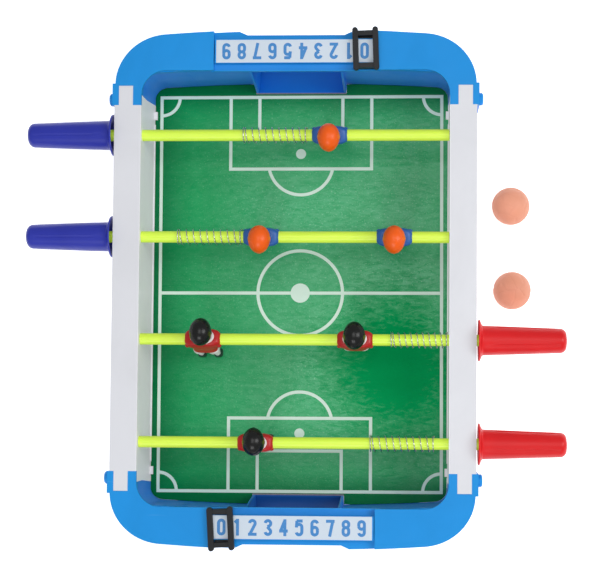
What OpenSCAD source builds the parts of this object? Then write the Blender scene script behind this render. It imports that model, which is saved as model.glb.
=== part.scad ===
// Tabletop football game. Two moulded end frames and two side rails hold a printed pitch board. Four rods
// slide and spin across it, each with a handle, a loose coil spring and one or two figures.
// The origin is at the centre of the game, on the surface that it stands on. +X runs along the rods,
// +Y towards the far goal and +Z up. Sizes are in millimetres.

/* [Frame] */
// Height of the rim above the surface that the game stands on
rim_h = 68; // [64:1:76]
// Height of the playing surface
pitch_h = 20; // [18:1:22]
// Distance between the inner faces of the side rails
arena_w = 196.6; // [194:0.2:200]
// Width of a side rail
rail_w = 17.2; // [16:0.2:19]
// Length of the top face of a side rail, between the end frames
rail_l = 232.6; // [231:0.2:234]
// Length of the arena between the rims of the end frames
arena_l = 277.2; // [275:0.2:279]
// Wall thickness of the mouldings
wall = 2.2; // [1.8:0.1:2.6]

/* [Rods] */
// Height of the rod axes
rod_h = 61; // [59:0.5:62]
// Distance from the middle of the pitch to the two inner rods
inner_rod_y = 32.65; // [32:0.05:34]
// Distance from the middle of the pitch to the two outer rods
outer_rod_y = 98; // [97:0.1:100]
// Outside diameter of a rod tube
tube_d = 7.3; // [7:0.1:7.8]
// Bore of a rod tube
tube_bore_d = 5.4; // [5.2:0.1:5.6]
// How far a rod pulls out
rod_travel = 40; // [30:1:40]

/* [Handles] */
// Distance from the middle of the game to a handle's tip
handle_tip_x = 172.5; // [168:0.5:176]
// Diameter of the flared mouth of a handle
handle_mouth_d = 26.5; // [24:0.5:28]
// Diameter of a handle behind its mouth
handle_body_d = 18.8; // [17:0.2:20]
// Diameter of a handle at its tip
handle_tip_d = 15.4; // [14:0.2:16]

/* [Figures] */
// Width of a figure over its shoulders
figure_w = 23.5; // [22:0.5:25]
// Depth of a figure's chest
figure_depth = 12.2; // [11:0.2:13]
// Height of a figure's head above the rod axis
head_top = 20; // [18:0.5:22]
// Reach of a figure's feet below the rod axis
foot_reach = 35.5; // [32:0.5:36]

/* [Springs] */
// Outside diameter of a coil spring
spring_d = 10.5; // [9.6:0.1:11]
// Diameter of the spring wire
wire_d = 0.7; // [0.6:0.1:0.8]

/* [Score counters] */
// Distance between two numbers on a score label
score_pitch = 9.79; // [9:0.01:10]
// Length of a score label
label_l = 101.2; // [98:0.1:102]
// Width of a score label
label_w = 14.6; // [13:0.1:15.2]

/* [Balls] */
// Diameter of a ball
ball_d = 25; // [22:0.5:26]

/* [Hidden] */

$fn = 64;
tiny = 0.01;
past = 1; // how far a cutter runs past the face that it opens

// Side rails
rail_in = arena_w / 2;
rail_out = rail_in + rail_w;
rail_foot = 3; // gap under a rail
rail_end = 128.7; // half the length of a rail below its top face
tongue_in = 103.7;
tongue_out = 112.7;
tab_t = 2.1; // thickness of the end frame's tabs, which sit in the rail's corner steps
boss_d = 12;
hole_gap = 0.1; // radial running clearance of a rod in a rail, and of a guide peg in a rod

// End frames, drawn for the far end
rim_in = arena_l / 2;
corner_x = 80.8; // centre of the outer corner's ellipse
corner_y = 129.5;
corner_a = 34.3; // half axes of that ellipse
corner_b = 32.39;
corner_end = 85.8; // angle at which the ellipse runs into the long outer curve
bow_r = 1160; // radius of the long outer curve
bow_top = 164.8; // furthest reach of that curve
bay_half = 31; // half width of the bay in the outer wall
bay_slope = 5.2;
bay_y = 161.9;
rim_corner_r = 15.5;
rim_corner_x = 82.8;
wall_bow_r = 1500; // radius of the end wall's inner face
wall_bow_top = 140.3; // furthest reach of that face
wall_corner_r = 9.2;
wall_corner_x = 89;
wall_end_y = 123.2; // where the inner wall stops against the rail, near the rim
wall_foot_y = 125.7; // and at the pitch
wall_tip_t = 1.2; // thickness there
wall_step_h = 48; // height at which it starts to slope back
skin_out = rail_out + 1.4; // outer face of the end frame's side skins
skin_end_y = 130.2;
skin_foot = 38;
pin_y = 120.7;
pin_h = 62;
pin_d = 4;
pin_head_d = 8;
pin_head_t = 2.5;

// Goals
goal_half = 28.5;
goal_line = 133.9; // where the pitch board ends in front of a goal
sheet_back = 1; // how far short of that the printed sheet ends
goal_wall = 1.4;
chute_top = pitch_h - 2.6;
chute_t = 2;
chute_end_h = 4;
exit_lip = 3.2; // height of the sill that a ball rolls over, above the chute's underside
exit_top = 35;
deck_h = rim_h - 4; // floor of the score recess
deck_t = 2;
deck_notch = 33.5; // the deck reaches further out beyond this, behind the bay's shoulders

// Score recess
recess_half = 52.2;
rail_neck_in = 144.5; // the raised rail that a score counter clips round
rail_neck_out = 156.5;
rail_cap_in = 143.2;
rail_cap_out = 158.7;
rail_cap_half = 51.6;
rail_cap_h = rim_h - 0.7;
rail_cap_t = 1.3;
label_t = 0.3;
label_in = 143.5;
zero_x = 4.5 * score_pitch; // the counters stand at zero
far_slip = 0.8; // and a little further out
near_slip = 0.3;
slider_bar_w = 3.6;
slider_bar_x = 6.4; // from the middle of a counter to the middle of each bar
slider_in = 138;
slider_out = 165.4;
far_tilt = 2.1; // the counters sit a little askew
near_tilt = 3.4;
slider_grip = 4.6; // half length of the cross bars' lips
cross_in = 139.5; // the cross bars' inner edges
cross_out = 160.2;
cross_w = 3.1;

// Pitch
board_t = 2.2;
sheet_t = 0.3;
board_gap = 0.3;
ledge_w = 4;
ledge_l = rail_l - 8;
lip_w = 0.6;
clip_w = 1.9;
ledge_t = 2;
ledge_h = pitch_h - board_t - sheet_t; // top of the ledges
clip_y = 118.2;

// Rods: [y, side of the handle, figures as [place, lean], spring's low end, spring's high end]
RODS = [
    [outer_rod_y, -1, [[21.9, 12]], -33.7, 7.6],
    [inner_rod_y, -1, [[-21.4, 8], [63.5, 8]], -75, -33.4],
    [-inner_rod_y, 1, [[-57.9, -15], [38.9, -6]], 61.2, 97.6],
    [-outer_rod_y, 1, [[-23.7, 0]], 48.4, 89.5]
];
tube_far_x = 98.1; // far end of a tube, from the middle of the game
tube_grip_x = 152; // its other end, inside the handle
peg_x = rail_in - rod_travel - 12; // tip of a guide peg
peg_root_x = rail_in + 9;
mouth_x = 116.6;
BALLS = [[139.9, 58.8], [140.8, 2.4]];

// ---- Outlines ------------------------------------------------------------------------------------

function arc(cx, cy, a, b, from, to, n) =
    [for (i = [0:n]) let (t = from + (to - from) * i / n) [cx + a * cos(t), cy + b * sin(t)]];

function mirrored(points) = [for (i = [len(points) - 1:-1:0]) [-points[i][0], points[i][1]]];

// Height of a long bowed curve at x
function bow(top, r, x) = top - r + sqrt(r * r - x * x);

// Right half of the outer outline, set in by d, from the leg to the middle
function outer_half(d) = concat(
    [[corner_x + corner_a - d, corner_y]],
    arc(corner_x, corner_y, corner_a - d, corner_b - d, 3, corner_end, 24),
    [for (x = [82:-9:37]) [x, bow(bow_top - d, bow_r, x)]],
    [[bay_half + bay_slope, bow(bow_top - d, bow_r, bay_half + bay_slope)], [bay_half, bay_y - d]]
);

// Right half of the end wall's inner face, set out by d, from the middle to the leg
function inner_half(d) = concat(
    [for (x = [0:12:72]) [x, bow(wall_bow_top + d, wall_bow_r, x)]],
    arc(wall_corner_x, corner_y, wall_corner_r + d,
        bow(wall_bow_top, wall_bow_r, wall_corner_x) - corner_y + d, 90, 0, 18)
);

// Right half of the rim's inner edge
rim_half = concat(
    [[0, rim_in]],
    arc(rim_corner_x, rim_in - rim_corner_r, rim_corner_r, rim_corner_r, 90, 0, 20),
    [[rim_corner_x + rim_corner_r, rail_l / 2]]
);

function reversed(points) = [for (i = [len(points) - 1:-1:0]) points[i]];

// ---- End frames ----------------------------------------------------------------------------------

// The band between the outer outline and the end wall's inner face, walls set in by d
module wall_band(d) {
    right = inner_half(d);
    polygon(concat(
        outer_half(d), mirrored(outer_half(d)),
        [[-wall_corner_x - wall_corner_r - d, corner_y]], mirrored(right),
        right, [[wall_corner_x + wall_corner_r + d, corner_y]]
    ));
}

// The flat top of the band, with its tabs over the rails
module rim_plan() {
    polygon(concat(
        outer_half(0), mirrored(outer_half(0)),
        [[-skin_out, corner_y], [-skin_out, rail_l / 2]], mirrored(rim_half),
        rim_half, [[skin_out, rail_l / 2], [skin_out, corner_y]]
    ));
}

// Both sides of a symmetrical pair
module both_sides() {
    children();
    mirror([1, 0, 0]) children();
}

// A box from its low and high corners
module slab(low, high) {
    translate(low) cube(high - low);
}

// An outline of [y, z] points swept along x from low to high
module swept_x(low, high) {
    translate([low, 0, 0]) rotate([90, 0, 90]) linear_extrude(high - low) children();
}

// Height of the chute's surface behind a goal
function chute_z(y) = chute_top + (chute_end_h + chute_t - chute_top) * (y - goal_line) / (bay_y - goal_line);

module chute_outline() {
    far = bay_y - tiny;
    polygon([
        [goal_line, chute_top - chute_t], [goal_line, chute_top],
        [far, chute_z(far)], [far, chute_z(far) - chute_t]
    ]);
}

// The space that a ball falls through, over the chute
module goal_outline() {
    near = goal_line - past;
    far = bay_y - wall - tiny;
    polygon([[near, chute_z(near)], [far, chute_z(far)], [far, deck_h - deck_t], [near, deck_h - deck_t]]);
}

module goal_cheek() {
    swept_x(goal_half, goal_half + goal_wall)
        polygon([
            [goal_line, chute_top - 2], [goal_line, pitch_h + 2], [rim_in + 0.4, deck_h - deck_t],
            [bay_y - 1, deck_h - deck_t], [bay_y - 1, chute_end_h]
        ]);
}

// Thin end of the inner wall, which laps the rail's inner face
module wall_tip(grow = 0) {
    swept_x(wall_corner_x + wall_corner_r - grow, wall_corner_x + wall_corner_r + wall_tip_t + grow)
        offset(delta = grow)
            polygon([
                [corner_y + wall, ledge_h - ledge_t], [wall_foot_y, ledge_h - ledge_t],
                [wall_foot_y, pitch_h], [wall_end_y, wall_step_h],
                [wall_end_y, rim_h - tiny], [corner_y + wall, rim_h - tiny]
            ]);
}

// The side skin that a corner pin goes through
module side_skin() {
    slab([rail_out + 0.1, rail_l / 2, skin_foot], [skin_out, skin_end_y, rim_h - tiny]);
    // joins the skin to the end frame's wall behind the rail
    slab([wall_corner_x + wall_corner_r, rail_end + 0.3, ledge_h - ledge_t],
         [corner_x + corner_a - 0.6, rail_end + 0.3 + wall, rim_h - tiny]);
    slab([corner_x + corner_a - wall, rail_end + 0.3, skin_foot], [skin_out, skin_end_y, rim_h - tiny]);
}

module end_frame_body() {
    difference() {
        union() {
            // walls and rim
            difference() {
                linear_extrude(rim_h - tab_t) wall_band(0);
                translate([0, 0, -past]) linear_extrude(rim_h - tab_t - wall + past) wall_band(wall);
            }
            translate([0, 0, rim_h - tab_t]) linear_extrude(tab_t) rim_plan();
            both_sides() {
                goal_cheek();
                wall_tip();
                side_skin();
                // ribs under the band
                slab([70, 138.5, 1], [70 + 1.6, bow(bow_top, bow_r, 70) - 1, rim_h - tab_t - 0.5]);
                // ledges that the pitch board lies on
                slab([34, rim_in - 4, ledge_h - ledge_t], [80, rim_in + 1.5, ledge_h]);
            }
            // score deck
            slab([-recess_half - 2, rim_in, deck_h - deck_t], [recess_half + 2, bay_y - 0.5, deck_h]);
            slab([deck_notch, bay_y - 3, deck_h - deck_t], [recess_half + 2, bay_y + 1, deck_h]);
            slab([-recess_half - 2, bay_y - 3, deck_h - deck_t], [-deck_notch, bay_y + 1, deck_h]);
            swept_x(-goal_half - tiny, goal_half + tiny) chute_outline();
        }
        // recess for the score strip
        slab([-recess_half, rim_in - past, deck_h], [recess_half, bow_top + past, rim_h + past]);
        // goal mouth, and the way out for a ball that goes in
        swept_x(-goal_half, goal_half) goal_outline();
        slab([-goal_half, bay_y - wall - tiny, chute_end_h + exit_lip], [goal_half, bay_y + past, exit_top]);
        // corner steps that take the rails' tongues
        both_sides()
            slab([tongue_in - 0.05, rail_l / 2 - past, rim_h - tab_t - past],
                 [tongue_out + 0.05, rail_end + 0.1, rim_h + past]);
        // pin holes
        both_sides()
            translate([rail_out - past, pin_y, pin_h]) rotate([0, 90, 0]) cylinder(d = pin_d + 0.1, h = 5);
    }
}

module score_rail() {
    slab([-rail_cap_half, rail_neck_in, deck_h - tiny],
         [rail_cap_half, rail_neck_out, rail_cap_h - rail_cap_t + tiny]);
    slab([-rail_cap_half, rail_cap_in, rail_cap_h - rail_cap_t], [rail_cap_half, rail_cap_out, rail_cap_h]);
    // low lip along the inner edge of the recess
    slab([-recess_half, rim_in, deck_h - tiny], [recess_half, rim_in + 0.7, deck_h + 0.8]);
}

module end_frame() {
    color([0.21, 0.57, 0.86]) {
        end_frame_body();
        score_rail();
    }
}

// ---- Side rails ----------------------------------------------------------------------------------

// Drawn for the right side
module rail_solid(inset) {
    slab([rail_in + inset, -rail_end + inset, rail_foot - inset],
         [rail_out - inset, rail_end - inset, rim_h - tab_t - 0.1 - inset]);
    slab([rail_in + inset, -rail_l / 2 + inset, rail_foot - inset],
         [rail_out - inset, rail_l / 2 - inset, rim_h - inset]);
    slab([tongue_in + inset, -rail_end + inset, rail_foot - inset],
         [tongue_out - inset, rail_end - inset, rim_h - inset]);
}

// Bored along x: a rod or a peg
module bore_x(y, d, low, high) {
    translate([low, y, rod_h]) rotate([0, 90, 0]) cylinder(d = d, h = high - low);
}

module side_rail(handle_side) {
    // a rail bears the rods whose handles are on its side and holds the guide pegs of the others
    function bears(rod) = rod[1] == handle_side;
    color([0.87, 0.87, 0.9])
    difference() {
        union() {
            difference() {
                rail_solid(0);
                rail_solid(wall);
            }
            for (rod = RODS)
                intersection() {
                    bore_x(rod[0], boss_d, rail_in + 1, rail_out - 1);
                    slab([rail_in, -rail_end, 0], [rail_out, rail_end, rim_h - 0.5]);
                }
            // ledge under the pitch board, lip over it and clips at the ends
            slab([rail_in - ledge_w, -ledge_l / 2, ledge_h - ledge_t], [rail_in + 1, ledge_l / 2, ledge_h]);
            slab([rail_in - lip_w, -ledge_l / 2, pitch_h + 0.05], [rail_in + 1, ledge_l / 2, pitch_h + 1.5]);
            for (y = [-clip_y, clip_y])
                slab([rail_in - clip_w, y - 2.6, pitch_h + 0.05], [rail_in + 1, y + 2.6, pitch_h + 2.2]);
            // ribs between the walls
            for (y = [-65.9, 0, 65.9])
                slab([rail_in + 1, y - 0.8, rail_foot + 1], [rail_out - 1, y + 0.8, rim_h - 1]);
        }
        for (rod = RODS) {
            if (bears(rod)) bore_x(rod[0], tube_d + 2 * hole_gap, rail_in - past, rail_out + past);
            else bore_x(rod[0], tube_bore_d - 2 * hole_gap, rail_in - past, peg_root_x);
        }
        for (y = [-pin_y, pin_y])
            translate([rail_out - 6, y, pin_h]) rotate([0, 90, 0]) cylinder(d = pin_d + 0.1, h = 6 + past);
        for (side = [0, 1]) mirror([0, side, 0]) wall_tip(hole_gap);
    }
}

module corner_pins() {
    color([0.2, 0.52, 0.8])
    for (turn = [0, 180]) rotate(turn) both_sides()
        translate([rail_out - 6, pin_y, pin_h]) rotate([0, 90, 0]) {
            cylinder(d = pin_d, h = 6 + skin_out - rail_out);
            translate([0, 0, 6 + skin_out - rail_out]) rotate_extrude()
                polygon([[0, 0], [pin_head_d / 2, 0], [pin_head_d / 2, pin_head_t - 0.8],
                    [pin_head_d / 2 - 0.8, pin_head_t], [0, pin_head_t]]);
        }
}

// ---- Pitch ---------------------------------------------------------------------------------------

// Quarter outline from the middle of an end wall to the middle of a rail, with the goal's edge set back
function board_quarter(back) = concat(
    [[goal_half + 0.3, goal_line - back], [goal_half + 1.8, goal_line - back]],
    [[goal_half + 1.8, wall_bow_top - 0.9]],
    [for (x = [36:12:72]) [x, bow(wall_bow_top - board_gap, wall_bow_r, x)]],
    arc(wall_corner_x, corner_y, wall_corner_r - board_gap,
        bow(wall_bow_top, wall_bow_r, wall_corner_x) - corner_y - board_gap, 84, 0, 12),
    [[wall_corner_x + wall_corner_r - board_gap, wall_end_y - 1], [rail_in - 0.2, wall_end_y - 2]]
);

module board_plan(back) {
    right = reversed(board_quarter(back));
    far = concat(right, mirrored(right));
    polygon(concat(far, [for (p = far) [-p[0], -p[1]]]));
}

module pitch_board() {
    color([0.75, 0.7, 0.6]) translate([0, 0, ledge_h]) linear_extrude(board_t) board_plan(0);
}

module pitch_sheet() {
    color([0.08, 0.5, 0.28]) translate([0, 0, ledge_h + board_t])
        linear_extrude(sheet_t) board_plan(sheet_back);
}

// ---- Score counters ------------------------------------------------------------------------------

module score_label() {
    color([0.8, 0.85, 0.93])
        slab([-label_l / 2, label_in, rail_cap_h], [label_l / 2, label_in + label_w, rail_cap_h + label_t]);
}

module slider_bar(x) {
    translate([x, 0, rim_h + 0.15]) linear_extrude(3) {
        translate([0, slider_in + slider_bar_w / 2]) circle(d = slider_bar_w);
        translate([0, slider_out - slider_bar_w / 2]) circle(d = slider_bar_w);
        translate([-slider_bar_w / 2, slider_in + slider_bar_w / 2])
            square([slider_bar_w, slider_out - slider_in - slider_bar_w]);
    }
}

// Drawn over the middle of a far score strip
module score_slider(tilt) {
    middle = (rail_cap_in + rail_cap_out) / 2;
    color([0.2, 0.2, 0.22])
    translate([0, middle, 0]) rotate(tilt) translate([0, -middle, 0]) {
        for (x = [-slider_bar_x, slider_bar_x]) slider_bar(x);
        // cross bars down in the grooves
        for (y = [cross_in, cross_out])
            slab([-slider_bar_x, y, deck_h + 1.2], [slider_bar_x, y + cross_w, rim_h + 2.4]);
        // lips that hook under the raised rail
        slab([-slider_grip, cross_in + 1, deck_h + 0.4], [slider_grip, rail_neck_in - 0.5, deck_h + 1.6]);
        slab([-slider_grip, rail_neck_out + 1, deck_h + 0.4], [slider_grip, cross_out + 1, deck_h + 1.6]);
    }
}

// ---- Rods ----------------------------------------------------------------------------------------

// Turns a shape drawn along +X from the far end to the handle so that the handle lies on its side
module on_rod(rod) {
    translate([0, rod[0], rod_h]) mirror([rod[1] < 0 ? 1 : 0, 0, 0]) children();
}

module along_x(low, high, d) {
    translate([low, 0, 0]) rotate([0, 90, 0]) cylinder(d = d, h = high - low);
}

module rod_tube(rod) {
    color([0.85, 0.95, 0.35]) on_rod(rod)
    difference() {
        along_x(-tube_far_x, tube_grip_x, tube_d);
        along_x(-tube_far_x - past, tube_grip_x + past, tube_bore_d);
    }
}

module guide_peg(rod) {
    color([0.3, 0.3, 0.3]) on_rod(rod) {
        along_x(-peg_root_x, -peg_x - 1, tube_bore_d - 2 * hole_gap);
        translate([-peg_x - 1, 0, 0]) rotate([0, 90, 0])
            cylinder(d1 = tube_bore_d - 2 * hole_gap, d2 = tube_bore_d - 2 * hole_gap - 1.6, h = 1);
    }
}

// Half profile of a handle as [distance from the middle of the game, radius]
module handle_profile() {
    body_r = handle_body_d / 2;
    tip_r = handle_tip_d / 2;
    mouth_r = handle_mouth_d / 2;
    round_r = 4;
    flare_l = 2.5;
    polygon(concat(
        [[mouth_x, mouth_r - 1.1], [mouth_x, mouth_r], [mouth_x + 0.9, mouth_r]],
        [for (t = [15:15:90])
            [mouth_x + 0.9 + flare_l * sin(t), body_r + (mouth_r - body_r) * (1 - sin(t))]],
        [for (t = [0:15:90])
            [handle_tip_x - round_r + round_r * sin(t), tip_r - round_r + round_r * cos(t)]],
        [[handle_tip_x, 0], [tube_grip_x + 0.5, 0], [tube_grip_x + 0.5, tube_d / 2],
         [mouth_x + 5.5, tube_d / 2], [mouth_x + 5.5, tube_d / 2 + 2]]
    ));
}

module handle(rod) {
    color(rod[1] < 0 ? [0.24, 0.25, 0.66] : [0.87, 0.15, 0.17]) on_rod(rod)
        rotate([0, 90, 0]) rotate_extrude($fn = 96) mirror([1, -1]) handle_profile();
}

// A closed tube swept along a helix, its first and last coil closed up
module spring(rod) {
    low = rod[3];
    high = rod[4];
    turns = 11;
    steps = 12;
    sides = 6;
    closed = wire_d * 1.25;
    coil_r = (spring_d - wire_d) / 2;
    free = high - low - wire_d - 2 * closed;
    function place(u) = low + wire_d / 2 + (u < 1 ? u * closed
        : u > turns - 1 ? closed + free + (u - turns + 1) * closed
        : closed + free * (u - 1) / (turns - 2));
    rings = turns * steps;
    points = [
        for (i = [0:rings], k = [0:sides - 1])
            let (u = i / steps, t = 360 * u, s = 360 * k / sides, r = coil_r + wire_d / 2 * cos(s))
                [place(u) + wire_d / 2 * sin(s), r * cos(t), r * sin(t)]
    ];
    faces = concat(
        [[for (k = [0:sides - 1]) k]],
        [for (i = [0:rings - 1], k = [0:sides - 1])
            let (a = i * sides + k, b = i * sides + (k + 1) % sides) [a, a + sides, b + sides, b]],
        [[for (k = [sides - 1:-1:0]) rings * sides + k]]
    );
    color([0.75, 0.75, 0.76]) translate([0, rod[0], rod_h]) polyhedron(points, faces);
}

// ---- Figures -------------------------------------------------------------------------------------

// An outline of [x, z] points swept from front to back
module swept_y(depth) {
    translate([0, depth / 2, 0]) rotate([90, 0, 0]) linear_extrude(depth) children();
}

// Drawn upright with the rod's axis at the origin, facing -Y, with the head a little forward
module figure_upright() {
    w = figure_w / 2;
    d = figure_depth / 2;
    shoulder = 5.6;
    head_r = 7.15;
    head_stretch = 1.75;
    head_y = -1;
    toe = 4.8;
    heel = 2;
    head_z = head_top - head_r;
    difference() {
        union() {
            // shirt and shorts
            intersection() {
                swept_y(figure_depth + 2)
                    polygon([[-w + 2.5, shoulder], [-w, shoulder - 3], [-w + 0.6, -8], [-w + 3.2, -12],
                        [-w + 3.4, -20], [w - 3.4, -20], [w - 3.2, -12], [w - 0.6, -8], [w, shoulder - 3],
                        [w - 2.5, shoulder]]);
                swept_x(-w, w)
                    polygon([[-d + 2, shoulder], [-d, shoulder - 3], [-d, -6], [-d + 1.4, -13], [-d + 1, -20],
                        [d - 1, -20], [d - 1.4, -13], [d, -6], [d, shoulder - 3], [d - 2, shoulder]]);
                linear_extrude(60, center = true)
                    polygon([[-w + 2.6, -d], [-w, -d + 3], [-w, d - 3], [-w + 2.6, d],
                        [w - 2.6, d], [w, d - 3], [w, -d + 3], [w - 2.6, -d]]);
            }
            // neck and head
            translate([0, head_y, shoulder - 1]) cylinder(r = 3.4, h = 4);
            for (y = [-head_stretch, head_stretch]) translate([0, head_y + y, head_z]) sphere(r = head_r);
            translate([0, head_y - head_stretch, head_z]) rotate([-90, 0, 0])
                cylinder(r = head_r, h = 2 * head_stretch);
            // legs and boots
            for (x = [-5.4, 5.4]) {
                translate([x, 0, -33]) cylinder(d = 5.6, h = 14);
                intersection() {
                    slab([x - 3.1, -toe, -foot_reach], [x + 3.1, heel, -foot_reach + 6.4]);
                    translate([x, 0, -foot_reach]) swept_x(-4, 4)
                        polygon([[-toe, 0], [-toe, 3], [3 - toe, 6.4], [heel, 6.4], [heel, 0]]);
                }
            }
        }
        along_x(-figure_w, figure_w, tube_d);
    }
}

// Each team faces the other's goal
module figure(rod, place) {
    color(rod[1] < 0 ? [0.15, 0.35, 0.65] : [0.74, 0.14, 0.14])
        translate([rod[2][place][0], rod[0], rod_h]) rotate([rod[2][place][1], 0, 0])
            rotate(rod[1] < 0 ? 0 : 180) figure_upright();
}

module ball(place) {
    color([0.91, 0.63, 0.52]) translate([place[0], place[1], ball_d / 2]) sphere(d = ball_d, $fn = 96);
}

// ---- Nodes ---------------------------------------------------------------------------------------

end_frame();  // end_frame_far
rotate(180) end_frame();  // end_frame_near
mirror([1, 0, 0]) side_rail(-1);  // side_rail_left
side_rail(1);  // side_rail_right
pitch_board();
pitch_sheet();
score_label();  // score_label_far
rotate(180) score_label();  // score_label_near
translate([zero_x + far_slip, 0, 0]) score_slider(far_tilt);  // score_slider_far
rotate(180) translate([zero_x + near_slip, 0, 0]) score_slider(near_tilt);  // score_slider_near
corner_pins();
for (i = [0:3]) {
    guide_peg(RODS[i]);
    rod_tube(RODS[i]);
    handle(RODS[i]);
    spring(RODS[i]);
}
figure(RODS[0], 0);  // figure_1
figure(RODS[1], 0);  // figure_2_left
figure(RODS[1], 1);  // figure_2_right
figure(RODS[2], 0);  // figure_3_left
figure(RODS[2], 1);  // figure_3_right
figure(RODS[3], 0);  // figure_4
ball(BALLS[0]);  // ball_1
ball(BALLS[1]);  // ball_2
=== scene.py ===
"""The looks of the tabletop football game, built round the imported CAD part, in metres and in its frame."""
import math

import bmesh
import bpy
from mathutils import Matrix, Vector


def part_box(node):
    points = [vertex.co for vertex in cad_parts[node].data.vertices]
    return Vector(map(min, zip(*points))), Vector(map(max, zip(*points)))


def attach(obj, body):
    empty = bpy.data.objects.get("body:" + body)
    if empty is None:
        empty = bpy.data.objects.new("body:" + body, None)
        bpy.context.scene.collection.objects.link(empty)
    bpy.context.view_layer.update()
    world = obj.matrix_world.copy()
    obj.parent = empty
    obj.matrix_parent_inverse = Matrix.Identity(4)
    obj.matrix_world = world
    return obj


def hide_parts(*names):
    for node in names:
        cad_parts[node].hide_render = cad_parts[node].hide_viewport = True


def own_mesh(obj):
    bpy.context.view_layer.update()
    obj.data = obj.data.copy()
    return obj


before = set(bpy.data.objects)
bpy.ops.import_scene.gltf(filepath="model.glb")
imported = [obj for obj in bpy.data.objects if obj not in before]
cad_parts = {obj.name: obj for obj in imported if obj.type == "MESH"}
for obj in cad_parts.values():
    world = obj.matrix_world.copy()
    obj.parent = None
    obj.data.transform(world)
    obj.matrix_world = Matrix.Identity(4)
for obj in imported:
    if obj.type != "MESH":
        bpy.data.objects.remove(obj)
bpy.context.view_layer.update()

MM = 0.001


# ---- Camera, light and floor -------------------------------------------------------------------------

def make_camera():
    """Looks down on the game, a little from the right and from the near side."""
    data = bpy.data.cameras.new("camera")
    data.lens = 87.22
    data.sensor_width = 36
    data.shift_x = -0.1015
    data.shift_y = 0.0595
    data.clip_end = 20
    camera = bpy.data.objects.new("camera", data)
    camera.location = (0.08145, -0.06554, 0.97257)
    camera.rotation_euler = (0.04744, 0.04445, 0.00655)
    bpy.context.scene.collection.objects.link(camera)
    bpy.context.scene.camera = camera


def make_light(name, place, target, width, height, watts):
    data = bpy.data.lights.new(name, "AREA")
    data.shape = "RECTANGLE"
    data.size = width
    data.size_y = height
    data.energy = watts
    light = bpy.data.objects.new(name, data)
    light.location = place
    light.rotation_euler = (Vector(target) - Vector(place)).to_track_quat("-Z", "Y").to_euler()
    bpy.context.scene.collection.objects.link(light)


def make_studio():
    scene = bpy.context.scene
    scene.view_settings.view_transform = "Standard"
    world = bpy.data.worlds.new("studio")
    world.use_nodes = True
    sky = world.node_tree.nodes["Background"]
    sky.inputs["Color"].default_value = (0.95, 0.97, 1.0, 1)
    sky.inputs["Strength"].default_value = 0.46
    scene.world = world
    make_light("softbox_top", (0.03, 0.12, 1.5), (0.03, 0.12, 0), 0.7, 0.75, 4.1)
    make_light("softbox_front", (-0.1, -1.2, 1.1), (0, 0, 0.03), 0.8, 0.5, 6)
    make_light("softbox_right", (1.1, 0.1, 1.1), (0, 0, 0.03), 0.6, 0.9, 8.5)


def make_floor():
    bm = bmesh.new()
    bmesh.ops.create_grid(bm, x_segments=1, y_segments=1, size=3)
    floor = object_from(bm, "floor", [floor_material()])
    floor.location.z = -0.0002


# ---- Material helpers --------------------------------------------------------------------------------

def srgb(red, green, blue):
    """A linear colour from the 0 to 255 values that a screen shows."""
    def linear(value):
        value /= 255
        return value / 12.92 if value <= 0.04045 else ((value + 0.055) / 1.055) ** 2.4
    return (linear(red), linear(green), linear(blue), 1)


class Shader:
    """A material being built: a Principled shader and short ways to add the nodes that feed it."""

    def __init__(self, name, rough=0.4, specular=0.5):
        self.material = bpy.data.materials.new(name)
        self.material.use_nodes = True
        self.nodes = self.material.node_tree.nodes
        self.links = self.material.node_tree.links
        self.main = self.nodes["Principled BSDF"]
        self.main.inputs["Roughness"].default_value = rough
        self.main.inputs["Specular IOR Level"].default_value = specular
        self.place = self.nodes.new("ShaderNodeTexCoord").outputs["Object"]

    def add(self, kind, values=(), **settings):
        """A new node. values gives each input by name or number, as a socket to link or a plain value."""
        node = self.nodes.new("ShaderNode" + kind)
        for key, value in settings.items():
            setattr(node, key, value)
        for key, value in dict(values).items():
            if isinstance(value, bpy.types.NodeSocket):
                self.links.new(value, node.inputs[key])
            else:
                node.inputs[key].default_value = value
        return node

    def stretched(self, scale):
        return self.add("Mapping", {"Vector": self.place, "Scale": scale}).outputs[0]

    def noise(self, scale, detail=3.0, rough=0.55, distortion=0.0, place=None):
        values = {"Vector": place or self.place, "Scale": scale, "Detail": detail, "Roughness": rough,
                  "Distortion": distortion}
        return self.add("TexNoise", values).outputs["Fac"]

    def span(self, value, low, high, to_low=0.0, to_high=1.0):
        """value, from low to high, mapped to to_low to to_high and kept between them."""
        values = {"Value": value, "From Min": low, "From Max": high, "To Min": to_low, "To Max": to_high}
        return self.add("MapRange", values).outputs["Result"]

    def mix(self, share, first, second):
        values = {0: share, 6: first, 7: second}
        return self.add("Mix", values, data_type="RGBA", blend_type="MIX").outputs[2]

    def math(self, operation, first, second=0.0):
        return self.add("Math", {0: first, 1: second}, operation=operation).outputs[0]

    def set(self, **inputs):
        names = {"colour": "Base Color", "rough": "Roughness", "normal": "Normal"}
        for key, value in inputs.items():
            self.links.new(value, self.main.inputs[names[key]])

    def bump(self, height, distance, strength=1.0, normal=None):
        values = {"Height": height, "Distance": distance, "Strength": strength}
        if normal is not None:
            values["Normal"] = normal
        return self.add("Bump", values).outputs["Normal"]


def scratches(shader, direction, amount):
    """Fine straight scuffs, mostly along one direction, as a mask from 0 to amount."""
    fine = shader.noise(1.0, 2.0, 0.5, 0.2, shader.stretched(direction))
    where = shader.span(shader.noise(18, 2.0), 0.52, 0.7)
    return shader.math("MULTIPLY", shader.span(fine, 0.68, 0.76, 0.0, amount), where)


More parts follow.
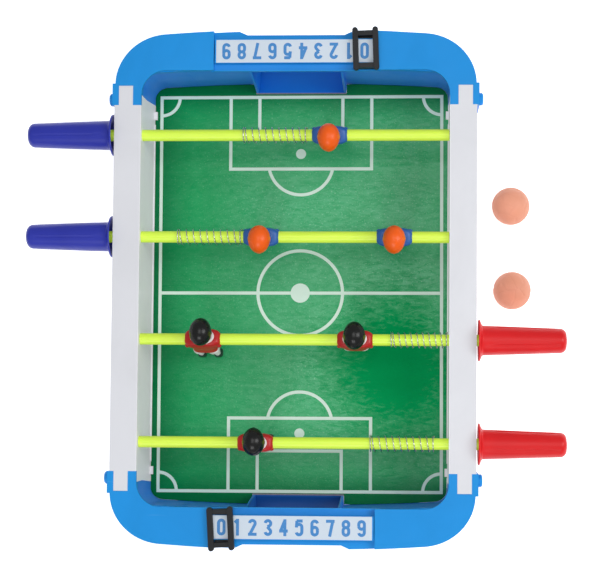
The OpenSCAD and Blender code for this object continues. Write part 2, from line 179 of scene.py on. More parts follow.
def plastic(name, colour, rough=0.36, tint=0.09, grain=0.00002, scuff=0.25, scuff_run=(40, 900, 400),
            gloss=0.5, paint_light=None):
    """Moulded plastic: faint flow clouds, a fine grained skin, handled patches and light scuffs."""
    shader = Shader(name, rough, gloss)
    flow = shader.noise(14, 4.0, 0.6, 0.8)
    dark = tuple(c * (1 - tint) for c in colour[:3]) + (1,)
    light = tuple(min(1, c * (1 + tint) + tint * 0.02) for c in colour[:3]) + (1,)
    base = shader.mix(shader.span(flow, 0.35, 0.65), dark, light)
    # painted light and shade, where a hook for it is given
    if paint_light:
        base = paint_light(shader, base)
    worn = scratches(shader, scuff_run, scuff)
    pale = tuple(c * 0.6 + 0.35 for c in colour[:3]) + (1,)
    shader.set(colour=shader.mix(worn, base, pale))
    patches = shader.span(shader.noise(45, 3.0), 0.3, 0.7, rough - 0.06, rough + 0.08)
    shader.set(rough=shader.math("ADD", patches, worn))
    skin = shader.bump(shader.noise(1500, 2.0), grain, 0.35)
    wave = shader.bump(shader.noise(60, 2.0), grain * 3, 0.25, skin)
    shader.set(normal=wave)
    return shader.material


def painted_rail_light(shader, base):
    """Painted light: the white plastic glows faintly, and more on its inner faces over the pitch, standing in
    for light falling on them.
    """
    shader.main.inputs["Emission Color"].default_value = (1.0, 0.9, 0.91, 1)
    out = shader.math("ABSOLUTE", shader.add("SeparateXYZ", {0: shader.place}).outputs["X"])
    inner_face, past_it = 0.0985, 0.0989
    # painted light: emission 0.21 on the inner faces, 0.09 on the rest
    painted_glow = shader.span(out, inner_face, past_it, 0.21, 0.09)
    shader.links.new(painted_glow, shader.main.inputs["Emission Strength"])
    return base


def painted_wall_light_goal_shade(shader, base):
    """Painted light and shade: a lighter blue on the frame's inner walls below the rim, standing in for light
    on them, and a painted shade in the goals, darkest towards the near one.
    """
    axes = shader.add("SeparateXYZ", {0: shader.place}).outputs
    out = shader.math("ABSOLUTE", axes["Y"])
    # painted light: lighter blue on the inner walls below the rim
    wall_light_mask = shader.math("MULTIPLY", shader.span(axes["Z"], 0.0655, 0.06), shader.span(out, 0.1435, 0.1425))
    base = shader.mix(wall_light_mask, base, srgb(54, 140, 240))
    # painted shade: darker blue in the goal mouths, darkest towards the near end
    across = shader.span(shader.math("ABSOLUTE", axes["X"]), 0.0296, 0.0282)
    behind = shader.span(out, 0.1325, 0.1355)
    under = shader.span(axes["Z"], 0.0635, 0.061)
    inside = shader.math("MULTIPLY", shader.math("MULTIPLY", across, behind), under)
    deep = shader.mix(shader.span(axes["Y"], -0.1, 0.1), srgb(4, 72, 146), srgb(6, 122, 224))
    return shader.mix(inside, base, deep)


def frame_plastic():
    return plastic("frame_blue", srgb(22, 143, 219), 0.42, 0.05, gloss=0.22, paint_light=painted_wall_light_goal_shade)


def translucent_painted_glow(name, colour, deep, rough):
    """Tube plastic with some subsurface scattering and a painted glow, a faint emission in its own colour
    standing in for light it gathers: deeper clouds and lengthwise drawing lines.
    """
    shader = Shader(name, rough)
    shader.main.inputs["Subsurface Weight"].default_value = 0.35
    shader.main.inputs["Subsurface Radius"].default_value = (0.004, 0.004, 0.001)
    shader.main.inputs["Subsurface Scale"].default_value = 0.5
    # painted light: a faint glow in the tube's own colour
    shader.main.inputs["Emission Color"].default_value = colour
    shader.main.inputs["Emission Strength"].default_value = 0.12
    cloud = shader.noise(1.0, 3.0, 0.6, 0.3, shader.stretched((30, 160, 160)))
    drawn = shader.noise(1.0, 2.0, 0.5, 0.0, shader.stretched((6, 1400, 1400)))
    base = shader.mix(shader.span(cloud, 0.3, 0.7, 0.0, 0.45), colour, deep)
    shader.set(colour=base, rough=shader.span(drawn, 0.3, 0.7, rough - 0.05, rough + 0.1))
    shader.set(normal=shader.bump(drawn, 0.00002, 0.3))
    return shader.material


def steel_wire():
    shader = Shader("spring_wire", 0.22)
    shader.main.inputs["Metallic"].default_value = 1
    streak = shader.noise(1.0, 3.0, 0.6, 0.2, shader.stretched((900, 300, 300)))
    shader.set(colour=shader.mix(streak, srgb(150, 150, 152), srgb(236, 236, 236)))
    shader.set(rough=shader.span(streak, 0.3, 0.7, 0.16, 0.34))
    shader.set(normal=shader.bump(streak, 0.00001, 0.5))
    return shader.material


def floor_material():
    shader = Shader("floor_paper", 0.9, 0.1)
    fibre = shader.noise(260, 4.0)
    shader.set(colour=shader.mix(fibre, (0.93, 0.93, 0.93, 1), (0.97, 0.97, 0.97, 1)))
    shader.main.inputs["Emission Color"].default_value = (1, 1, 1, 1)
    shader.main.inputs["Emission Strength"].default_value = 0.6
    return shader.material


def pitch_print():
    """Laminated print: green under a crinkled film, with painted shade along its ends and left side and a
    painted sheen, a lighter green standing in for the lamps' reflection in the film.
    """
    shader = Shader("pitch_print", 0.2)
    broad = shader.noise(9, 3.0, 0.5, 0.4)
    grass = shader.mix(shader.span(broad, 0.35, 0.65), srgb(2, 140, 76), srgb(8, 150, 84))
    axes = shader.add("SeparateXYZ", {0: shader.place}).outputs
    # painted shade: darker green towards the far and near ends and the left side, where the walls and rail
    # shade the pitch
    painted_edge_shade = shader.math("MAXIMUM", shader.span(shader.math("ABSOLUTE", axes["Y"]), 0.118, 0.134),
                         shader.span(axes["X"], -0.07, -0.096))
    grass = shader.mix(painted_edge_shade, grass, srgb(0, 106, 58))
    # painted sheen: none along the borders, towards the left and in one patch near the right
    inset = shader.span(shader.math("ABSOLUTE", axes["Y"]), 0.134, 0.106, 0.1, 1.0)
    right = shader.span(axes["X"], -0.098, -0.01, 0.1, 1.0)
    crinkle = shader.noise(1.0, 6.0, 0.72, 0.5, shader.stretched((150, 380, 100)))
    from_patch = shader.add("VectorMath", {0: shader.place, 1: (0.066, -0.055, 0.02)}, operation="DISTANCE")
    ragged = shader.math("ADD", shader.span(broad, 0.3, 0.7, -0.012, 0.012),
                         shader.span(crinkle, 0.3, 0.7, -0.013, 0.013))
    patch = shader.math("ADD", from_patch.outputs["Value"], ragged)
    sheen_area = shader.math("MULTIPLY", shader.math("MULTIPLY", inset, right), shader.span(patch, 0.03, 0.066))
    rumple = shader.noise(30, 4.0, 0.6, 0.8)
    sheen_cover = shader.math("MULTIPLY", sheen_area, shader.span(rumple, 0.3, 0.6, 0.6, 1.0))
    painted_sheen_mask = shader.math("MULTIPLY", sheen_cover, shader.span(crinkle, 0.38, 0.62, 0.5, 1.0))
    # painted glints: pale specks, only within the painted sheen
    specks = shader.math("MULTIPLY", shader.span(shader.noise(850, 3.0), 0.6, 0.68, 0.0, 0.35), sheen_cover)
    # painted reflection: the sheen lightens the green towards a pale green
    grass = shader.mix(shader.math("MULTIPLY", painted_sheen_mask, 0.5), grass, srgb(92, 196, 142))
    shader.set(colour=shader.mix(specks, grass, srgb(150, 216, 180)))
    shader.set(rough=shader.span(crinkle, 0.35, 0.7, 0.14, 0.26))
    shader.links.new(shader.math("MULTIPLY", painted_sheen_mask, 0.55), shader.main.inputs["Specular IOR Level"])
    crease = shader.add("TexVoronoi", {"Vector": shader.stretched((150, 190, 100)), "Detail": 1.0},
                        feature="DISTANCE_TO_EDGE").outputs["Distance"]
    film = shader.bump(shader.math("MULTIPLY", crinkle, shader.span(rumple, 0.4, 0.6)), 0.0005, 0.6)
    film = shader.bump(shader.span(crease, 0.0, 0.09), 0.00005, 0.5, film)
    shader.set(normal=shader.bump(shader.noise(420, 3.0), 0.00003, 0.5, film))
    return shader.material


def ink(name, colour):
    """Printed ink: nearly even, with faint specks where it took less."""
    rough = 0.35
    shader = Shader(name, rough)
    specks = shader.span(shader.noise(700, 4.0), 0.55, 0.75, 0.0, 0.25)
    pale = tuple(c * 0.75 + 0.2 for c in colour[:3]) + (1,)
    shader.set(colour=shader.mix(specks, colour, pale))
    shader.set(rough=shader.span(shader.noise(120, 3.0), 0.3, 0.7, rough - 0.05, rough + 0.1))
    shader.set(normal=shader.bump(shader.noise(900, 2.0), 0.00001, 0.4))
    return shader.material


def fibreboard():
    shader = Shader("fibreboard", 0.75, 0.2)
    fibre = shader.noise(1.0, 5.0, 0.7, 0.5, shader.stretched((500, 500, 3000)))
    shader.set(colour=shader.mix(fibre, srgb(104, 102, 112), srgb(150, 148, 158)))
    shader.set(normal=shader.bump(fibre, 0.00015, 0.5))
    return shader.material


MATERIALS = {
    "frame": frame_plastic(),
    "rail": plastic("rail_white", srgb(205, 207, 212), 0.36, 0.03, scuff_run=(900, 40, 400), scuff=0.12,
                    paint_light=painted_rail_light),
    "counter": plastic("counter_grey", srgb(26, 27, 30), 0.42, 0.15, 0.00004, gloss=0.3),
    "peg": plastic("peg_grey", srgb(70, 70, 74), 0.5),
    "handle_blue": plastic("handle_blue", srgb(40, 50, 164), 0.34, 0.07, scuff_run=(60, 900, 900),
                           gloss=0.35),
    "handle_red": plastic("handle_red", srgb(214, 24, 28), 0.36, 0.06, scuff_run=(60, 900, 900), gloss=0.3),
    "tube": translucent_painted_glow("tube_lime", srgb(214, 246, 78), srgb(196, 226, 60), 0.3),
    "wire": steel_wire(),
    "pitch": pitch_print(),
    "lines": ink("pitch_lines", srgb(206, 228, 214)),
    "label": ink("label_paper", srgb(204, 216, 228)),
    "digit": ink("digit_ink", srgb(52, 130, 196)),
    "board": fibreboard(),
    "ball": plastic("ball_peach", srgb(226, 152, 122), 0.5, 0.08, 0.00004),
    "skin_orange": plastic("head_orange", srgb(238, 92, 6), 0.34, 0.1, gloss=0.35),
    "skin_black": plastic("head_black", srgb(16, 16, 15), 0.24, 0.15, gloss=0.3),
    "shirt_blue": plastic("shirt_blue", srgb(34, 92, 168), 0.4, 0.12),
    "shirt_red": plastic("shirt_red", srgb(186, 24, 26), 0.36, 0.12, gloss=0.4),
    "kit_white": plastic("kit_white", srgb(232, 224, 222), 0.4, 0.05),
    "kit_dark": plastic("kit_dark", srgb(22, 28, 34), 0.32, 0.15),
}


# ---- Mesh helpers ------------------------------------------------------------------------------------

def object_from(bm, name, materials, smooth=True):
    bmesh.ops.recalc_face_normals(bm, faces=bm.faces)
    mesh = bpy.data.meshes.new(name)
    bm.to_mesh(mesh)
    bm.free()
    for material in materials:
        mesh.materials.append(material)
    for polygon in mesh.polygons:
        polygon.use_smooth = smooth
    piece = bpy.data.objects.new(name, mesh)
    bpy.context.scene.collection.objects.link(piece)
    return piece


def modify(piece, kind, **settings):
    modifier = piece.modifiers.new(kind.lower(), kind)
    for key, value in settings.items():
        setattr(modifier, key, value)


def skin_rings(bm, rings, slot=0, cap_ends=True):
    """Joins closed rings of points, each with as many points as the next, into a skin."""
    rows = [[bm.verts.new(p) for p in ring] for ring in rings]
    for row, after in zip(rows, rows[1:]):
        count = len(row)
        for i in range(count):
            j = (i + 1) % count
            bm.faces.new((row[i], row[j], after[j], after[i])).material_index = slot
    if cap_ends:
        bm.faces.new(rows[0]).material_index = slot
        bm.faces.new(rows[-1]).material_index = slot


def prism(bm, outline, bottom, top):
    """A flat closed solid over an outline of (x, y) points."""
    skin_rings(bm, [[(x, y, bottom) for x, y in outline], [(x, y, top) for x, y in outline]])


def ribbon(bm, points, width, bottom, top, closed=False):
    """A flat band of even width along a path of (x, y) points, as a closed solid."""
    path = [Vector(p) for p in points]
    count = len(path)
    left, right = [], []
    for i, here in enumerate(path):
        before = path[i - 1] if closed or i > 0 else None
        after = path[(i + 1) % count] if closed or i < count - 1 else None
        ins = (here - before).normalized() if before is not None else (after - here).normalized()
        out = (after - here).normalized() if after is not None else ins
        across = Vector((-(ins + out).y, (ins + out).x)).normalized()
        reach = width / 2 / max(0.35, across.dot(Vector((-ins.y, ins.x))))
        left.append(here + across * reach)
        right.append(here - across * reach)
    rings = [[(*a, bottom), (*a, top), (*b, top), (*b, bottom)] for a, b in zip(left, right)]
    if closed:
        rings.append(rings[0])
    skin_rings(bm, rings, cap_ends=not closed)
    if closed:
        bmesh.ops.remove_doubles(bm, verts=bm.verts, dist=1e-7)


LAYER = 0.01 * MM  # step in height between printed strokes that cross


def arc_points(centre, radius, start, end, steps=24):
    """Points on a circle from one angle to another, in degrees."""
    angles = [math.radians(start + (end - start) * i / steps) for i in range(steps + 1)]
    return [(centre[0] + radius * math.cos(t), centre[1] + radius * math.sin(t)) for t in angles]


# ---- Carried-over CAD nodes --------------------------------------------------------------------------

def dress(node, material, edge=0.0):
    """Gives a CAD node its material, and rounds its moulded edges by edge metres."""
    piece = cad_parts[node]
    mesh = piece.data
    mesh.materials.clear()
    mesh.materials.append(MATERIALS[material])
    if edge:
        if "custom_normal" in mesh.attributes:
            mesh.attributes.remove(mesh.attributes["custom_normal"])
        modify(piece, "WELD", merge_threshold=2e-6)
        modify(piece, "DECIMATE", decimate_type="DISSOLVE", angle_limit=math.radians(0.5))
        modify(piece, "BEVEL", width=edge, segments=2, limit_method="ANGLE", angle_limit=math.radians(34),
               harden_normals=True, use_clamp_overlap=True)
        for polygon in mesh.polygons:
            polygon.use_smooth = True


def dress_frame():
    for end in ("far", "near"):
        dress(f"end_frame_{end}", "frame", 0.45 * MM)
        dress(f"score_label_{end}", "label")
        dress(f"score_slider_{end}", "counter", 0.5 * MM)
    for side in ("left", "right"):
        dress(f"side_rail_{side}", "rail", 0.4 * MM)
    dress("corner_pins", "frame")
    dress("pitch_board", "board")
    dress("pitch_sheet", "pitch")
    for i in range(1, 5):
        dress(f"guide_peg_{i}", "peg")
        dress(f"rod_tube_{i}", "tube")


# ---- Pitch markings ----------------------------------------------------------------------------------

def make_markings():
    """The printed lines: boundary, halfway line, circles, penalty and goal areas and corner arcs."""
    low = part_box("pitch_sheet")[1].z
    top = low + 0.04 * MM
    line = 2.1 * MM
    side, end = 93.7 * MM, 131.2 * MM
    bm = bmesh.new()

    def path(points, closed=False, level=0):
        ribbon(bm, points, line, low, top + level * LAYER, closed)

    path([(-side, -end), (side, -end), (side, end), (-side, end)], True)
    path([(-side, 0), (side, 0)], False, 1)
    path(arc_points((0, 0), 28.15 * MM, 0, 360, 96)[:-1], True, 2)
    prism(bm, arc_points((0, 0), 6.4 * MM, 0, 360, 48)[:-1], low, top + 2 * LAYER)
    for turn in (1, -1):
        for half, depth in ((47.1 * MM, 82.95 * MM), (27.8 * MM, 104.5 * MM)):
            box_end, box_line = turn * end, turn * depth
            path([(-half, box_end), (-half, box_line), (half, box_line), (half, box_end)], False, 1)
        prism(bm, arc_points((0, turn * 93 * MM), 3.35 * MM, 0, 360, 32)[:-1], low, top)
        reach = math.degrees(math.asin(4.3 / 22.5))
        path(arc_points((0, turn * 87.2 * MM), 21.6 * MM, -turn * (180 - reach), -turn * reach, 40), False, 2)
        for hand in (1, -1):
            corner = (hand * side, turn * end)
            start = {(1, 1): 180, (-1, 1): 270, (-1, -1): 0, (1, -1): 90}[hand, turn]
            path(arc_points(corner, 12.2 * MM, start, start + 90, 16), False, 1)
    # the print was cut a little askew
    askew = Matrix.Rotation(0.0023, 4, "Z") @ Matrix.Translation((0.3 * MM, -0.25 * MM, 0))
    bm.transform(askew)
    piece = object_from(bm, "pitch_markings", [MATERIALS["lines"]], smooth=False)
    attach(piece, "root")


# ---- Score digits ------------------------------------------------------------------------------------

DIGIT_W = 5.4 * MM
DIGIT_H = 10.5 * MM
STROKE = 1.9 * MM


def digit_strokes(digit):
    """Centre lines of a digit's strokes as ([(x, y)], closed), about the digit's own centre."""
    w = (DIGIT_W - STROKE) / 2
    h = (DIGIT_H - STROKE) / 2
    mid = 0.04 * DIGIT_H
    edge = STROKE / 2

    def turn(centre_y, start, end):
        return arc_points((0, centre_y), w, start, end, 12)

    top, low = h - w, w - h
    six = [(turn(top, 10, 180) + turn(low, 180, 360) + [(w, mid - w)], False), (turn(mid - w, 0, 180), False)]
    return {
        0: [(turn(top, 0, 180) + turn(low, 180, 360), True)],
        1: [([(-0.75 * w, h - 0.75 * STROKE), (0.1 * w, h)], False),
            ([(0.25 * w, h + edge), (0.25 * w, -h - edge)], False)],
        2: [(turn(top, 175, -20) + [(-w * 0.9, -h)], False), ([(-w - edge, -h), (w + edge, -h)], False)],
        3: [(turn(top, 170, -60) + [(-0.2 * w, mid)], False),
            ([(-0.2 * w, mid)] + turn(low, 55, -170), False)],
        4: [([(w * 0.5, -h - edge), (w * 0.5, h + edge)], False), ([(w * 0.4, h), (-w, -h * 0.45)], False),
            ([(-w - edge, -h * 0.48), (w + edge, -h * 0.48)], False)],
        5: [([(w + edge * 0.5, h), (-w * 0.9, h)], False), ([(-w * 0.8, h), (-w * 0.95, mid * 0.5)], False),
            (turn(mid, 150, 0) + turn(low, 0, -170), False)],
        6: six,
        7: [([(-w - edge, h), (w + edge, h)], False), ([(w * 0.85, h), (-w * 0.25, -h - edge)], False)],
        8: [(turn(top, 0, 180) + turn(mid + w, 180, 360), True),
            (turn(mid - w, 0, 180) + turn(low, 180, 360), True)],
        9: [([(-x, -y) for x, y in points], closed) for points, closed in six],
    }[digit]


def make_digits(end):
    """The numbers 0 to 9 on one score label, read from outside the game."""
    low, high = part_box(f"score_label_{end}")
    facing = -1 if end == "far" else 1
    spacing = 9.79 * MM
    bm = bmesh.new()
    for digit in range(10):
        middle = Vector(((low.x + high.x) / 2 + facing * spacing * (digit - 4.5), (low.y + high.y) / 2))
        for layer, (points, closed) in enumerate(digit_strokes(digit)):
            placed = [(middle.x + facing * x, middle.y + facing * y) for x, y in points]
            ribbon(bm, placed, STROKE, high.z, high.z + 0.03 * MM + layer * LAYER, closed)
    piece = object_from(bm, f"score_digits_{end}", [MATERIALS["digit"]], smooth=False)
    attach(piece, "root")


# ---- Handles -----------------------------------------------------------------------------------------

def make_handle(number, material):
    """A hollow-mouthed grip with a thin flared rim and shallow grooves along it."""
    low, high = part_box(f"handle_{number}")
    left = high.x < 0
    axis_y, axis_z = (low.y + high.y) / 2, (low.z + high.z) / 2
    mouth, tip = (-high.x, -low.x) if left else (low.x, high.x)
    mouth_r = (high.z - low.z) / 2
    body_r, tip_r = 9.4 * MM, 7.75 * MM
    neck = mouth + 3.4 * MM
    rows = []

    def row(x, radius, groove=0.0):
        rows.append((x, radius, groove))

    tube_r = 3.66 * MM
    row(mouth + 14 * MM, tube_r)
    row(mouth + 14 * MM, tube_r + 2.6 * MM)
    row(mouth + 5.5 * MM, tube_r + 3.6 * MM)
    row(mouth + 2 * MM, mouth_r - 4.4 * MM)
    row(mouth + 0.5 * MM, mouth_r - 1.5 * MM)
    row(mouth, mouth_r - 0.6 * MM)
    row(mouth + 0.15 * MM, mouth_r - 0.08 * MM)
    row(mouth + 0.7 * MM, mouth_r)
    row(mouth + 1.1 * MM, mouth_r - 0.25 * MM)
    for t in (15, 30, 45, 60, 75, 90):
        s = math.sin(math.radians(t))
        row(mouth + (1.1 + 1.9 * s) * MM, body_r + (mouth_r - 0.25 * MM - body_r) * (1 - s) ** 1.6)
    steps = 26
    round_r = 4 * MM
    for i in range(1, steps + 1):
        share = i / steps
        x = neck + (tip - 0.5 * MM - round_r - neck) * share
        row(x, body_r + (tip_r - body_r) * share, min(1, max(0, share * 8 - 0.6)) * min(1, (1 - share) * 9))
    for t in range(10, 91, 10):
        s, c = math.sin(math.radians(t)), math.cos(math.radians(t))
        row(tip - 0.5 * MM - round_r + round_r * s, tip_r - round_r * (1 - c))
    row(tip - 0.18 * MM, (tip_r - round_r) * 0.6)
    row(tip, (tip_r - round_r) * 0.15)

    count = 144
    first_groove = math.radians(96 if material == "handle_blue" else 112)
    rings = []
    for x, radius, groove in rows:
        ring = []
        for k in range(count):
            t = 2 * math.pi * k / count
            off = (t - first_groove + math.pi / 4) % (math.pi / 2) - math.pi / 4
            ridge = math.exp(-((off + 0.12) / 0.06) ** 2)
            r = radius + groove * MM * (0.16 * ridge - 0.4 * math.exp(-(off / 0.06) ** 2))
            ring.append(((-x if left else x), axis_y + r * math.cos(t), axis_z + r * math.sin(t)))
        rings.append(ring)
    bm = bmesh.new()
    skin_rings(bm, rings)
    piece = object_from(bm, f"grip_{number}", [MATERIALS[material]])
    mark_sharp(piece, 50)
    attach(piece, f"rod_{number}")
    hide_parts(f"handle_{number}")


def mark_sharp(piece, degrees):
    piece.data.set_sharp_from_angle(angle=math.radians(degrees))


# ---- Springs -----------------------------------------------------------------------------------------

def make_spring(number):
    """Round wire wound on a helix, its end coils closed up and its cut ends capped flat."""
    low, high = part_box(f"spring_{number}")
    centre_y, centre_z = (low.y + high.y) / 2, (low.z + high.z) / 2
    wire = 0.35 * MM
    coil = (high.z - low.z) / 2 - wire
    turns, per_turn, sides = 11, 40, 10
    closed = 2 * wire * 1.25
    free = high.x - low.x - 2 * wire - 2 * closed
    rings = []
    for i in range(turns * per_turn + 1):
        u = i / per_turn
        if u < 1:
            along = u * closed
        elif u > turns - 1:
            along = closed + free + (u - turns + 1) * closed
        else:
            along = closed + free * (u - 1) / (turns - 2)
        t = 2 * math.pi * u
        ring = []
        for k in range(sides):
            s = 2 * math.pi * k / sides
            r = coil + wire * math.cos(s)
            x = low.x + wire + along + wire * math.sin(s)
            ring.append((x, centre_y + r * math.cos(t), centre_z + r * math.sin(t)))
        rings.append(ring)
    bm = bmesh.new()
    skin_rings(bm, rings)
    piece = object_from(bm, f"coil_spring_{number}", [MATERIALS["wire"]])
    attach(piece, f"rod_{number}_carriage")
    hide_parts(f"spring_{number}")
    return piece


def make_springs():
    for number in range(1, 5):
        spring = make_spring(number)
        if number == 2:
            squeeze(spring)
        elif number == 3:
            squeeze(spring)
        elif number == 4:
            squeeze(spring)


def squeeze(spring):
    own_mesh(spring)


# ---- Balls -------------------------------------------------------------------------------------------

def football_panels():
    """Directions of a football's 12 pentagons and 20 hexagons, each with its panel's distance."""
    golden = (1 + math.sqrt(5)) / 2
    fives = [Vector(v) for a in (1, -1) for b in (golden, -golden) for v in ((0, a, b), (a, b, 0), (b, 0, a))]
    sixes = [Vector((a, b, c)) for a in (1, -1) for b in (1, -1) for c in (1, -1)]
    for a in (1 / golden, -1 / golden):
        for b in (golden, -golden):
            sixes += [Vector((0, a, b)), Vector((a, b, 0)), Vector((b, 0, a))]
    return [(v.normalized(), 2.3274) for v in fives] + [(v.normalized(), 2.2673) for v in sixes]


def make_ball(number, turn):
    """A hollow moulded ball with the seams of a football and a mould line."""
    low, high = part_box(f"ball_{number}")
    radius = (high.z - low.z) / 2
    panels = football_panels()
    bm = bmesh.new()
    bmesh.ops.create_icosphere(bm, subdivisions=6, radius=1)
    tilt = Matrix.Rotation(math.radians(turn), 3, "Z") @ Matrix.Rotation(math.radians(27), 3, "X")
    for vert in bm.verts:
        out = vert.co.normalized()
        reach = sorted((tilt @ out).dot(axis) / distance for axis, distance in panels)
        seam = math.exp(-((reach[-1] - reach[-2]) / 0.006) ** 2)
        flash = math.exp(-(out.z / 0.012) ** 2)
        vert.co = out * (radius - 0.28 * MM * seam + 0.05 * MM * flash - 0.05 * MM)
    piece = object_from(bm, f"play_ball_{number}", [MATERIALS["ball"]])
    piece.location = (low + high) / 2
    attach(piece, f"ball_{number}")
    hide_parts(f"ball_{number}")


# ---- Figures -----------------------------------------------------------------------------------------

def oval(z, half_x, half_y, power=2.4, x=0.0, y=0.0, count=32):
    """A ring round the z axis, from an ellipse at power 2 towards a rounded box."""
    ring = []
    for k in range(count):
        t = 2 * math.pi * k / count
        c, s = math.cos(t), math.sin(t)
        ring.append((x + half_x * math.copysign(abs(c) ** (2 / power), c),
                     y + half_y * math.copysign(abs(s) ** (2 / power), s), z))
    return [(px * MM, py * MM, pz * MM) for px, py, pz in ring]


def bell(value, middle, width):
    return math.exp(-((value - middle) / width) ** 2)


def add_head(bm, slot, centre_y, centre_z):
    """A plain head with a cap of hair, ears, brow, nose and lips, on even proportions."""
    half_x, half_y, half_z = 7.0, 8.6, 8.0
    rows = []
    ups, rounds = 40, 64
    for i in range(1, ups):
        up = math.pi * i / ups
        ring = []
        for k in range(rounds):
            t = 2 * math.pi * k / rounds
            x, y, z = math.sin(up) * math.sin(t), -math.sin(up) * math.cos(t), -math.cos(up)
            front = max(0, -y)
            narrow = 1 - 0.07 * front ** 1.5 - 0.12 * max(0, -z) * (0.5 + front)
            grow = 1.0
            if y < 0:
                grow += 0.05 * bell(x, 0, 0.13) * bell(z, -0.12, 0.2)
                grow -= 0.035 * (bell(x, 0.33, 0.15) + bell(x, -0.33, 0.15)) * bell(z, 0.0, 0.1)
                grow += 0.02 * bell(abs(x), 0.3, 0.25) * bell(z, 0.18, 0.08)
                grow += 0.022 * bell(x, 0, 0.22) * bell(z, -0.46, 0.05)
                grow += 0.03 * bell(x, 0, 0.2) * bell(z, -0.72, 0.12)
            hair_edge = 0.38 + 0.5 * y
            grow += 0.03 / (1 + math.exp(-(z - hair_edge if y < 0.35 else 1 + z + 0.55) * 30))
            ear = bell(y, 0.06, 0.13) * bell(z, -0.05, 0.2)
            side = math.copysign(0.05 * ear, x) if abs(x) > 0.6 else 0
            ring.append(((x * narrow * grow + side) * half_x * MM, (y * grow * half_y + centre_y) * MM,
                         (centre_z + z * grow * half_z) * MM))
        rows.append(ring)
    skin_rings(bm, rows, slot)


def add_arm(bm, side, sleeve, hand):
    """An arm that hangs from the shoulder with the fist forward."""
    path = [(9.6, 0.4, 1.4), (9.9, 0.4, 0.4), (10.0, 0.5, -2.0), (9.9, 0.4, -4.4), (9.7, 0.2, -5.2)]
    widths = [1.6, 1.9, 1.9, 1.8, 1.4]
    depths = [4.2, 5.0, 4.6, 3.9, 3.1]
    rings = [oval(z, a, b, 3, side * x, y, 20) for (x, y, z), a, b in zip(path, widths, depths)]
    skin_rings(bm, rings, sleeve)
    fore = [(9.7, 0.2, -4.6), (9.6, -0.6, -7.4), (9.3, -1.6, -9.6), (9.1, -2.0, -11.2), (9.1, -2.2, -12.8)]
    widths = [1.5, 1.5, 1.4, 1.7, 1.0]
    depths = [2.1, 2.0, 1.7, 2.2, 1.3]
    rings = [oval(z, a, b, 2.2, side * x, y, 20) for (x, y, z), a, b in zip(fore, widths, depths)]
    skin_rings(bm, rings, hand)


def add_collar(bm, slot):
    """A broad collar that lies on the shoulders, with a V in front."""
    rings = []
    count = 40
    for lift, grow in ((-0.5, 2.3), (0.35, 2.6), (0.8, 1.6), (0.7, 0.2), (-0.5, 0.0)):
        ring = []
        for k in range(count):
            t = 2 * math.pi * k / count
            front = max(0, -math.cos(t))
            x = (5.3 + grow) * math.sin(t)
            y = (3.2 + grow * 0.9) * math.cos(t) - 0.9 * front ** 6
            ring.append((x * MM, y * MM, (5.7 + lift - 0.5 * front ** 4) * MM))
        rings.append(ring)
    rings.append(rings[0])
    skin_rings(bm, rings, slot, cap_ends=False)
    bmesh.ops.remove_doubles(bm, verts=bm.verts, dist=1e-7)


def add_leg(bm, side, sock, boot):
    x = side * 5.3
    rings = [oval(z, a, b, 2.2, x, y, 20) for z, a, b, y in (
        (-17.5, 2.4, 2.7, 0.1), (-20, 2.5, 2.8, 0.2), (-22.5, 2.2, 2.3, 0), (-24, 2.3, 2.5, 0.2),
        (-27, 2.2, 2.4, 0.2), (-29.6, 1.9, 2.0, 0), (-31, 2.0, 2.0, 0))]
    skin_rings(bm, rings, sock)
    shoe = [oval(z, a, b, 2.8, x, y, 24) for z, a, b, y in (
        (-29.4, 2.3, 2.2, 0), (-30.6, 2.6, 2.5, -0.2), (-32, 2.8, 2.9, -0.8), (-33.4, 3.0, 3.2, -1.2),
        (-34.6, 3.1, 3.3, -1.3), (-35.4, 2.9, 3.1, -1.3))]
    skin_rings(bm, shoe, boot)


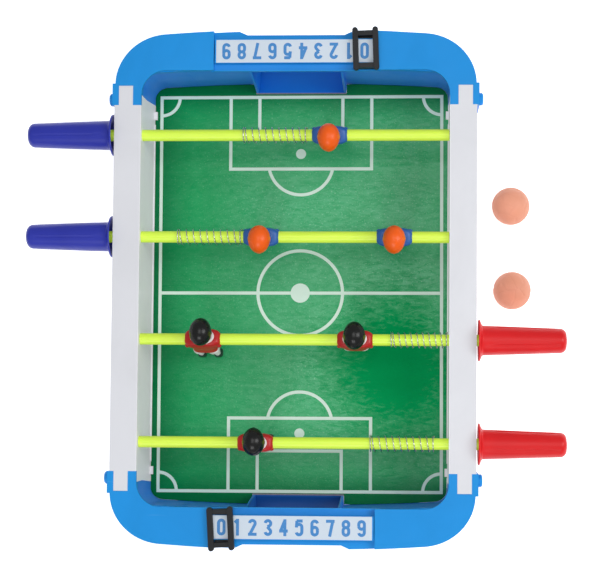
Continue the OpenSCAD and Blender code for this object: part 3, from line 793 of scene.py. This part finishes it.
def make_figure(node, kit, faces_far, lean):
    """One player, upright in its own frame with the rod's axis at its origin, then turned by its lean."""
    head, shirt, trim, shorts, slot = kit
    body = f"rod_{node.split('_')[1]}"
    low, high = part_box(node)
    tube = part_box(f"rod_tube_{body[-1]}")
    bm = bmesh.new()
    head_slot, shirt_slot, trim_slot, shorts_slot, boot_slot = range(5)
    add_head(bm, head_slot, HEAD_Y, 12.4)
    neck = ((4.0, 3.6), (5.5, 3.4), (7.5, 3.5))
    skin_rings(bm, [oval(z, r, r, 2, 0, HEAD_Y, 24) for z, r in neck], head_slot)
    torso = [(5.75, 7.6, 3.8, 0), (5.5, 9.0, 4.8, 0), (4.9, 10.3, 5.5, 0), (3.6, 11.4, 5.9, 0),
             (1.6, 11.7, 6.0, 0), (-0.4, 11.6, 6.0, 0), (-1.6, 10.6, 6.0, 0), (-2.4, 9.4, 5.9, 0),
             (-4.5, 8.5, 5.6, 0), (-8.5, 7.9, 5.2, 0), (-11.5, 8.3, 5.5, 0), (-12.6, 8.3, 5.5, 0),
             (-12.9, 7.6, 4.9, 0)]
    skin_rings(bm, [oval(z, a, b, 3.4, 0, y, 48) for z, a, b, y in torso], shirt_slot)
    add_collar(bm, trim_slot)
    for side in (1, -1):
        add_arm(bm, side, shirt_slot, head_slot)
        add_leg(bm, side, trim_slot, boot_slot)
        thigh = [(-11.8, 3.9, 4.9), (-14.5, 4.2, 5.0), (-18.4, 4.0, 4.6), (-19.2, 3.8, 4.3),
                 (-19.3, 3.0, 3.6)]
        skin_rings(bm, [oval(z, a, b, 2.6, side * 4.6, 0.1, 24) for z, a, b in thigh], shorts_slot)
    names = (head, shirt, trim, shorts, "kit_dark")
    piece = object_from(bm, f"player_{node[7:]}", [MATERIALS[n] for n in names])
    modify(piece, "SUBSURF", levels=1, render_levels=2)
    piece.matrix_world = Matrix.Translation((
        (low.x + high.x) / 2, (tube[0].y + tube[1].y) / 2, (tube[0].z + tube[1].z) / 2
    )) @ Matrix.Rotation(math.radians(lean), 4, "X") @ Matrix.Rotation(math.pi if faces_far else 0, 4, "Z")
    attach(piece, body)
    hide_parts(node)


HEAD_Y = -1.0
BLUE_KIT = ("skin_orange", "shirt_blue", "shirt_blue", "kit_dark", "figure_blue")
RED_KIT = ("skin_black", "shirt_red", "kit_white", "kit_white", "figure_red")
LEANS = {"figure_1": 12, "figure_2_left": 8, "figure_2_right": 8, "figure_3_left": -15, "figure_3_right": -6,
         "figure_4": 0}


def make_figures():
    """Each team faces the other's goal."""
    for node, lean in LEANS.items():
        red = node[7] in "34"
        make_figure(node, RED_KIT if red else BLUE_KIT, red, lean)


# ---- Everything --------------------------------------------------------------------------------------

make_camera()
make_studio()
make_floor()
dress_frame()
make_markings()
for end_name in ("far", "near"):
    make_digits(end_name)
for index in range(1, 5):
    make_handle(index, "handle_blue" if index < 3 else "handle_red")
make_springs()
make_ball(1, 20)
make_ball(2, 65)
make_figures()
